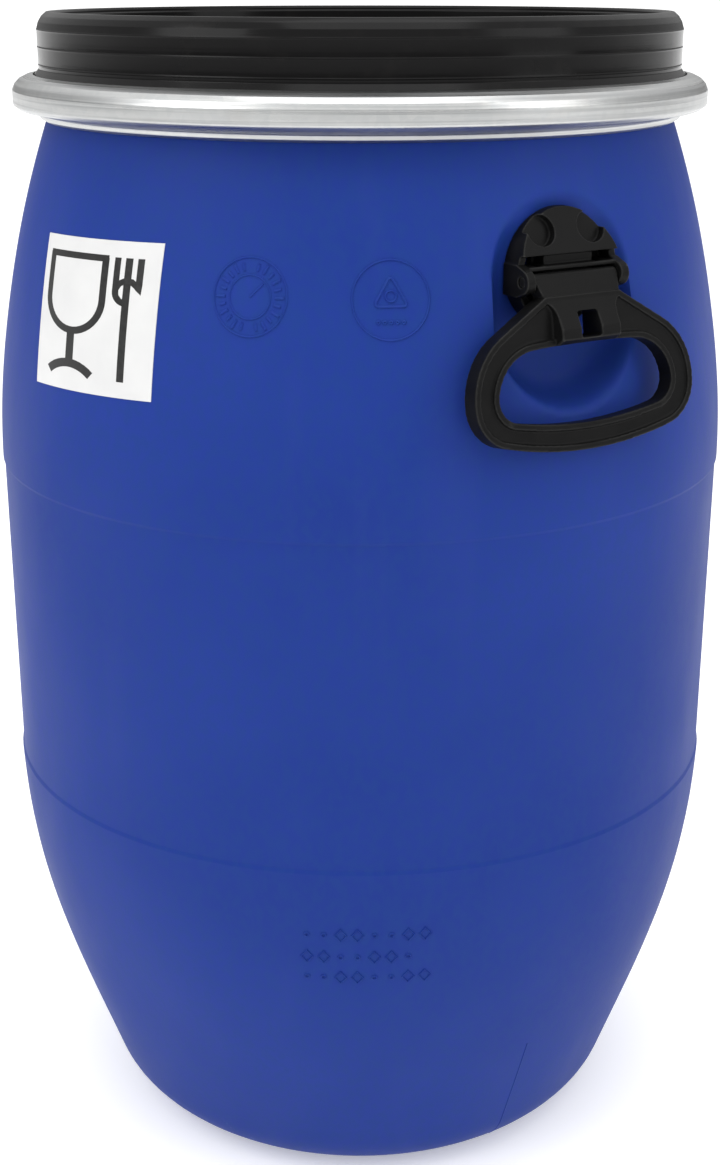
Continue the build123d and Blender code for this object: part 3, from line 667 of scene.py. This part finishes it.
def batch_marks(angle, rows, columns, pitch, size):
    """Rows of small plain figures: dots, dashes and diamonds."""
    shells = []
    half = size / 2
    figures = (
        lambda x: (circle(0.16 * size, 12, (x, 0)), True),
        lambda x: (straight((x - 0.34 * size, 0), (x + 0.34 * size, 0), 4), False),
        lambda x: ([(x, half), (x + 0.4 * size, 0), (x, -half), (x - 0.4 * size, 0)], True),
        lambda x: (circle(0.16 * size, 12, (x, 0)), True),
    )
    for row, height in enumerate(rows):
        for column in range(columns - row % 2):
            figure = figures[(2 * row + 3 * column + column * column) % len(figures)]
            line, closed = figure((column - (columns - 1) / 2) * pitch)
            shells.append(ridge(angle, height, line, 0.9, 0.35, closed))
    return shells


def parting_lines():
    """The mould's parting line, a faint ridge that runs out above each side of the foot."""
    shells = []
    for angle in (0.0, 180.0):
        shells.append(ridge(angle, 0.0, straight((0, PARTING_LOW), (0, PARTING_HIGH), 24), 0.8, 0.22))
    return shells


def moulded_marks():
    """All raised marks in one piece, which stands a little proud of the shell."""
    shells = dial_mark(DIAL_ANGLE, DIAL_Z, DIAL_R)
    shells += resin_mark(RESIN_ANGLE, RESIN_Z, RESIN_R)
    shells += batch_marks(BATCH_ANGLE, BATCH_ROWS, BATCH_COLUMNS, BATCH_PITCH, BATCH_SIZE)
    shells += parting_lines()
    marks = new_object("drum_moulded_marks", shells, BLUE)
    return finished(marks, "drum", "blue_body")


# ======== lid ========

def lid_shell():
    """The lid's section turned round, with spokes and a boss on its sunk panel."""
    skirt_in = LID_SKIRT_R - LID_THICK
    wall = [(171.1, 591.7), (LID_WALL_R, 594.6)]
    for line in LID_LINES[:2]:
        wall += [(LID_WALL_R, line - 0.5), (LID_WALL_R + LINE_RISE, line), (LID_WALL_R, line + 0.5)]
    wall += [(LID_WALL_R, LID_LINES[2] - 0.5), (LID_WALL_R + LINE_RISE, LID_LINES[2])]
    crest = [
        (LID_WALL_R, LID_LINES[2] + 0.6), (167.9, 617.6), (166.1, 620.4), (163.6, LID_TOP), (160.6, LID_TOP),
    ]
    well = [
        (skirt_in + 0.9, 621.2), (skirt_in + 0.9, 620.1), (skirt_in, 619.6), (skirt_in, 604.0),
        (skirt_in - 1.2, 601.2), (skirt_in - 4.0, LID_PANEL_TOP),
    ]
    panel = []
    for radius in RIB_RADII:
        panel += [
            (radius + 1.5, LID_PANEL_TOP), (radius + 1.0, LID_PANEL_TOP + RIB_RISE),
            (radius - 1.0, LID_PANEL_TOP + RIB_RISE), (radius - 1.5, LID_PANEL_TOP),
        ]
    under = [
        (0, LID_PANEL_TOP - LID_THICK), (skirt_in, LID_PANEL_TOP - LID_THICK), (skirt_in, 577.0),
        (LID_SKIRT_R, 577.0), (LID_SKIRT_R, 617.5), (164.0, 616.0), (LID_WALL_R - LID_THICK, 612.0),
        (LID_WALL_R - LID_THICK, 584.5), (179.4, 584.5), (179.4, 586.3), (171.1, 590.5),
    ]
    outline = rounded(under + wall + crest + well + panel + [(0, LID_PANEL_TOP)], 0.8, steps=4)
    shells = [turned(outline, all_round(240))]
    for a in all_round(SPOKES):
        middle = (SPOKE_MIDDLE * cos(a), SPOKE_MIDDLE * sin(a), LID_PANEL_TOP + 1.2)
        shells.append(block(middle, SPOKE_SIZE, a))
    boss = rounded(((0, 601.8), (5.5, 601.8), (7.0, 599.0)), 0.8)
    shells.append(turned([(0, 598.5), (7.0, 598.5)] + boss[::-1], all_round(40)))
    lid = new_object("lid_moulding", shells, LID_BLACK)
    return finished(lid, "lid", "black_lid", "lid")


# ======== clamp ring ========

def clamp_ring():
    """The split channel of the ring, with a gap between its two ends."""
    line = rounded(RING_LINE, 1.5, steps=6)
    section = thickened(line, RING_T)
    half_gap = RING_GAP / 2 / RING_R
    angles = np.linspace(pi / 2 + half_gap, pi / 2 + 2 * pi - half_gap, 256)
    ring = new_object("clamp_ring", [turned(section, list(angles), whole=False, loop=True)], STEEL)
    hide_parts("clamp_ring_band")
    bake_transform(ring)
    return ring


# ======== label ========

def on_label(across, up, proud):
    """A point of the label, which is turned a little on the drum's side."""
    turn = radians(LABEL_TURN)
    x = across * cos(turn) - up * sin(turn)
    y = across * sin(turn) + up * cos(turn)
    return on_side(LABEL_ANGLE, LABEL_Z, x, y, proud)


def sheet_shell(columns, rows, place, low, high):
    """A thin closed sheet over a grid of (column, row) places."""
    wide, tall = len(columns), len(rows)
    points = [place(x, y, level) for level in (low, high) for y in rows for x in columns]
    layer = wide * tall
    faces = []
    for i in range(tall - 1):
        for j in range(wide - 1):
            a = i * wide + j
            faces.append((a, a + wide, a + wide + 1, a + 1))
            faces.append((layer + a, layer + a + 1, layer + a + wide + 1, layer + a + wide))
    border = (
        [j for j in range(wide - 1)] + [i * wide + wide - 1 for i in range(tall - 1)]
        + [layer - 1 - j for j in range(wide - 1)] + [(tall - 1 - i) * wide for i in range(tall - 1)]
    )
    for a, b in zip(border, border[1:] + border[:1]):
        faces.append((a, b, b + layer, a + layer))
    return points, faces


def stroke(line, width, closed=False):
    """A printed stroke of even width along a line, as a very thin closed band."""
    p = np.array(line, float)
    way = np.roll(p, -1, 0) - np.roll(p, 1, 0) if closed else np.gradient(p, axis=0)
    way /= np.hypot(way[:, 0], way[:, 1])[:, None]
    side = np.column_stack((way[:, 1], -way[:, 0])) * width / 2
    count = len(p)
    points = []
    for i in range(count):
        for sign, proud in ((-1, FILM_TOP - 0.05), (-1, PRINT_TOP), (1, PRINT_TOP), (1, FILM_TOP - 0.05)):
            across, up = p[i] + sign * side[i]
            points.append(on_label(across * PRINT_STRETCH + PRINT_ACROSS, up, proud))
    faces = []
    for i in range(count if closed else count - 1):
        k = (i + 1) % count
        for j in range(4):
            m = (j + 1) % 4
            faces.append((4 * i + j, 4 * i + m, 4 * k + m, 4 * k + j))
    if not closed:
        faces.append((0, 1, 2, 3))
        faces.append(tuple(4 * count - 4 + j for j in range(4)))
    return points, faces


def goblet_print():
    """A plain stemmed goblet: a U-shaped bowl with a straight rim, one stem and a flat foot."""
    bowl = [(-24.0, 28.0), (-24.0, 10.0)] + arc((-8.5, 8.0), 15.5, 180, 360, 22) + [(7.0, 10.0), (7.0, 28.0)]
    bowl = straight(bowl[0], bowl[1], 5)[:-1] + bowl[1:-1] + straight(bowl[-2], bowl[-1], 5)[1:]
    foot = arc((-8.5, -41.0), 18.0, 132, 48, 12)
    return [
        stroke(bowl, PRINT_STROKE),
        stroke(straight((-25.5, 27.6), (8.5, 27.6), 12), PRINT_STROKE * 0.9),
        stroke(straight((-8.5, -7.0), (-8.5, -24.0), 6), PRINT_STROKE * 1.3),
        stroke(foot, PRINT_STROKE * 1.2),
    ]


def fork_print():
    """A plain three-pronged fork, even about its handle."""
    middle = 18.0
    shells = [stroke(straight((middle, 28.5), (middle, -28.5), 14), PRINT_STROKE * 0.95)]
    for way in (-1, 1):
        prong = straight((middle + way * 5.2, 28.5), (middle + way * 5.2, 13.0), 5)
        bend = arc((middle, 13.0), 5.2, 180 if way < 0 else 0, 270, 9)
        shells.append(stroke(prong[:-1] + bend, PRINT_STROKE * 0.85))
    return shells


def label():
    """The film and its print, both wrapped on the drum's side."""
    columns = np.linspace(-LABEL_WIDTH / 2, LABEL_WIDTH / 2, 50)
    rows = np.linspace(-LABEL_HEIGHT / 2, LABEL_HEIGHT / 2, 36)
    film = new_object("label_sheet", [sheet_shell(columns, rows, on_label, FILM_BOTTOM, FILM_TOP)], FILM)
    finished(film, "drum", "label_film", "label")
    printed = new_object("label_printing", goblet_print() + fork_print(), INK)
    return finished(printed, "drum", "label_film")


# ======== handles ========

def softened(node, name, voxel):
    """A copy of a CAD node with its edges rounded, as moulded plastic has them."""
    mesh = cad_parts[node].data.copy()
    tidy(mesh)
    obj = bpy.data.objects.new(name, mesh)
    bpy.context.scene.collection.objects.link(obj)
    remesh = obj.modifiers.new("remesh", "REMESH")
    remesh.mode = "VOXEL"
    remesh.voxel_size = voxel * MM
    smooth = obj.modifiers.new("smooth", "SMOOTH")
    smooth.factor = 0.5
    smooth.iterations = SMOOTH_PASSES
    thin = obj.modifiers.new("thin", "DECIMATE")
    thin.ratio = KEPT_FACES
    graph = bpy.context.evaluated_depsgraph_get()
    done = bpy.data.meshes.new_from_object(obj.evaluated_get(graph))
    obj.modifiers.clear()
    obj.data = done
    done.name = name
    done.materials.clear()
    done.materials.append(HANDLE_BLACK)
    done.shade_smooth()
    return obj


def handles():
    """Both grips and both brackets, as softened copies of their CAD nodes."""
    for side in ("right", "left"):
        grip = softened(f"handle_grip_{side}", f"grip_{side}", GRIP_VOXEL)
        finished(grip, f"grip_{side}", "black_handle", f"handle_grip_{side}")
        bracket = softened(f"handle_bracket_{side}", f"bracket_{side}", BRACKET_VOXEL)
        finished(bracket, "drum", "black_handle", f"handle_bracket_{side}")


# ======== CAD nodes that stay ========

def carried_over():
    """Closure parts and the gasket keep their CAD shape and get real finishes."""
    finishes = {
        "lid_gasket": RUBBER, "lever_hinge_bracket": STEEL, "catch_bracket": STEEL, "lever": STEEL,
        "claw_link": STEEL, "lever_keeper": STEEL, "catch_pin": RIVET, "lever_pivot_rivets": RIVET,
        "link_rivet": RIVET,
    }
    for name, material in finishes.items():
        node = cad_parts[name]
        node.data.materials.clear()
        node.data.materials.append(material)


# ======== stage, light and camera ========

def studio():
    """A wide pale floor and a sky that is brighter overhead, which the camera sees as plain white."""
    mesh = bpy.data.meshes.new("floor")
    half = FLOOR_HALF
    corners = [(-half, -half, 0), (half, -half, 0), (half, half, 0), (-half, half, 0)]
    mesh.from_pydata(corners, [], [(0, 1, 2, 3)])
    material, tree, shader = new_material("studio_floor", {
        "Roughness": 0.9, "Specular IOR Level": 0.1,
        "Emission Color": (1, 1, 1, 1), "Emission Strength": FLOOR_GLOW,
    })
    tone = spread(tree, noise(tree, 1.2, detail=2.0), 0.3, 0.7)
    tree.links.new(mixed(tree, tone, (0.86, 0.86, 0.86), (0.88, 0.88, 0.88)), shader.inputs["Base Color"])
    mesh.materials.append(material)
    floor = bpy.data.objects.new("floor", mesh)
    bpy.context.scene.collection.objects.link(floor)

    world = bpy.data.worlds.new("studio")
    world.use_nodes = True
    bpy.context.scene.world = world
    tree = world.node_tree
    place = tree.nodes.new("ShaderNodeTexCoord")
    split = tree.nodes.new("ShaderNodeSeparateXYZ")
    tree.links.new(place.outputs["Generated"], split.inputs["Vector"])
    level = spread(tree, split.outputs["Z"], 0.0, 0.7, HORIZON_LIGHT, ZENITH_LIGHT)
    tree.nodes["Background"].inputs["Color"].default_value = (1, 1, 1, 1)
    path = tree.nodes.new("ShaderNodeLightPath")
    seen = tree.nodes.new("ShaderNodeMix")
    seen.inputs[3].default_value = BACKDROP
    tree.links.new(path.outputs["Is Camera Ray"], seen.inputs[0])
    tree.links.new(level, seen.inputs[2])
    tree.links.new(seen.outputs[0], tree.nodes["Background"].inputs["Strength"])


def area_light(name, angle, distance, height, size, power, aim_height=0.3):
    """A softbox at a plan angle from the camera's side, aimed at the drum."""
    light = bpy.data.lights.new(name, "AREA")
    light.shape = "RECTANGLE"
    light.size, light.size_y = size
    light.energy = power
    around = radians(CAMERA_ANGLE + angle)
    obj = bpy.data.objects.new(name, light)
    obj.location = (distance * cos(around), distance * sin(around), height)
    aim = Vector((0, 0, aim_height)) - obj.location
    obj.rotation_euler = aim.to_track_quat("-Z", "Y").to_euler()
    bpy.context.scene.collection.objects.link(obj)


def lights():
    """A softbox on each side of the camera and one overhead."""
    area_light("key_left", -58, 1.9, 1.7, (1.2, 1.4), 14)
    area_light("fill_right", 62, 2.0, 1.3, (1.0, 1.5), 8)
    area_light("overhead", 10, 0.5, 2.4, (1.6, 1.6), 14)


def camera():
    """The camera, just above the lid's height and turned down at the drum."""
    data = bpy.data.cameras.new("camera")
    data.lens = CAMERA_LENS
    data.sensor_width = 36.0
    data.clip_start = 0.05
    data.clip_end = 2 * FLOOR_HALF
    obj = bpy.data.objects.new("camera", data)
    around = radians(CAMERA_ANGLE)
    across = CAMERA_DISTANCE * MM
    obj.location = (across * cos(around), across * sin(around), CAMERA_HEIGHT * MM)
    pitch = radians(CAMERA_PITCH)
    forward = Vector((-cos(around) * cos(pitch), -sin(around) * cos(pitch), -sin(pitch)))
    obj.rotation_euler = forward.to_track_quat("-Z", "Y").to_euler()
    bpy.context.scene.collection.objects.link(obj)
    bpy.context.scene.camera = obj
    bpy.context.scene.view_settings.view_transform = "Standard"


drum_shell()
moulded_marks()
lid_shell()
clamp_ring()
label()
handles()
carried_over()
studio()
lights()
camera()
